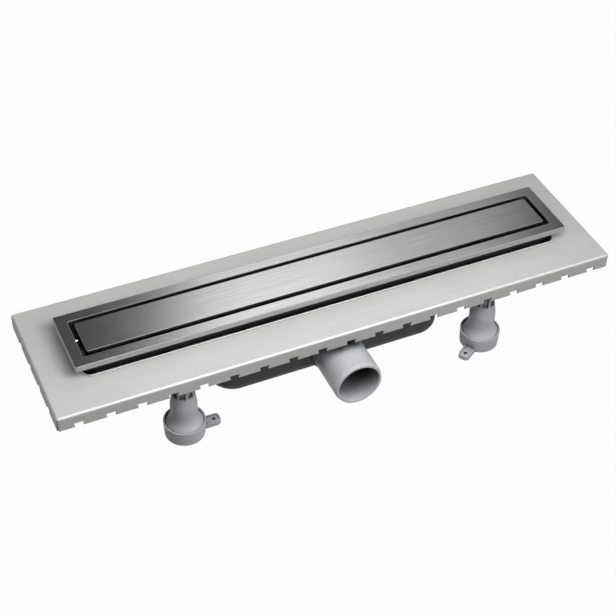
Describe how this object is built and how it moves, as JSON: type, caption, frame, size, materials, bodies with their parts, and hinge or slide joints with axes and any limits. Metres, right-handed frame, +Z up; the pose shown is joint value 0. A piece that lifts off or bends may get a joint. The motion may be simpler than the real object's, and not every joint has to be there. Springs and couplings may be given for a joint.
{
  "type": "linear shower drain",
  "caption": "Long low floor drain: a flanged steel channel with a raised tile frame and flat cover, a trap housing with a side outlet pipe, on screw feet with fixing lugs.",
  "frame": {"origin": "middle of the cover's top face, at the finished floor", "axes": "+X along the drain, +Y to its back, away from the outlet, +Z up"},
  "size_m": [0.584, 0.172, 0.112],
  "materials": {
    "brushed_stainless": "fine brushed stainless steel",
    "polished_stainless": "polished stainless steel",
    "dark_grey_plastic": "satin moulded plastic",
    "black_plastic": "satin moulded plastic",
    "pale_grey_plastic": "smooth moulded plastic",
    "foot_grey_plastic": "smooth moulded plastic",
    "black_rubber": "matte rubber"
  },
  "bodies": {
    "drain": {"channel_body": "brushed_stainless", "frame": "brushed_stainless", "cover": "brushed_stainless", "frame_bridge_left": "brushed_stainless", "frame_bridge_right": "brushed_stainless", "levelling_nuts": "brushed_stainless", "levelling_screws": "brushed_stainless", "clamp_screws": "brushed_stainless", "hair_strainer": "brushed_stainless", "foot_studs": "brushed_stainless", "cover_stop_pin": "polished_stainless", "sump_body": "dark_grey_plastic", "sump_lid": "dark_grey_plastic", "clamp_frame": "black_plastic", "trap_inlet": "black_plastic", "trap_cup": "black_plastic", "screw_caps": "black_plastic", "outlet_spigot": "pale_grey_plastic", "cover_pads": "black_rubber", "sump_gasket": "black_rubber", "inlet_seal": "black_rubber"},
    "base_front_left": {"foot_base_front_left": "foot_grey_plastic"},
    "post_front_left": {"foot_post_front_left": "foot_grey_plastic"},
    "base_front_right": {"foot_base_front_right": "foot_grey_plastic"},
    "post_front_right": {"foot_post_front_right": "foot_grey_plastic"},
    "base_back_right": {"foot_base_back_right": "foot_grey_plastic"},
    "post_back_right": {"foot_post_back_right": "foot_grey_plastic"},
    "base_back_left": {"foot_base_back_left": "foot_grey_plastic"},
    "post_back_left": {"foot_post_back_left": "foot_grey_plastic"}
  },
  "joints": [
    {"name": "front_left_height", "type": "slide", "parent": "drain", "child": "base_front_left", "axis": [0, 0, -1], "range_m": [0, 0.015]},
    {"name": "front_left_turn", "type": "hinge", "parent": "base_front_left", "child": "post_front_left", "pos_m": [-0.164, -0.05, -0.072], "axis": [0, 0, -1], "range_deg": [0, 1800]},
    {"name": "front_right_height", "type": "slide", "parent": "drain", "child": "base_front_right", "axis": [0, 0, -1], "range_m": [0, 0.015]},
    {"name": "front_right_turn", "type": "hinge", "parent": "base_front_right", "child": "post_front_right", "pos_m": [0.164, -0.05, -0.072], "axis": [0, 0, -1], "range_deg": [0, 1800]},
    {"name": "back_right_height", "type": "slide", "parent": "drain", "child": "base_back_right", "axis": [0, 0, -1], "range_m": [0, 0.015]},
    {"name": "back_right_turn", "type": "hinge", "parent": "base_back_right", "child": "post_back_right", "pos_m": [0.164, 0.05, -0.072], "axis": [0, 0, -1], "range_deg": [0, 1800]},
    {"name": "back_left_height", "type": "slide", "parent": "drain", "child": "base_back_left", "axis": [0, 0, -1], "range_m": [0, 0.015]},
    {"name": "back_left_turn", "type": "hinge", "parent": "base_back_left", "child": "post_back_left", "pos_m": [-0.164, 0.05, -0.072], "axis": [0, 0, -1], "range_deg": [0, 1800]}
  ],
  "couplings": [
    {"joint": "front_left_height", "follows": "front_left_turn", "m_per_rad": 0.00047746},
    {"joint": "front_right_height", "follows": "front_right_turn", "m_per_rad": 0.00047746},
    {"joint": "back_right_height", "follows": "back_right_turn", "m_per_rad": 0.00047746},
    {"joint": "back_left_height", "follows": "back_left_turn", "m_per_rad": 0.00047746}
  ]
}
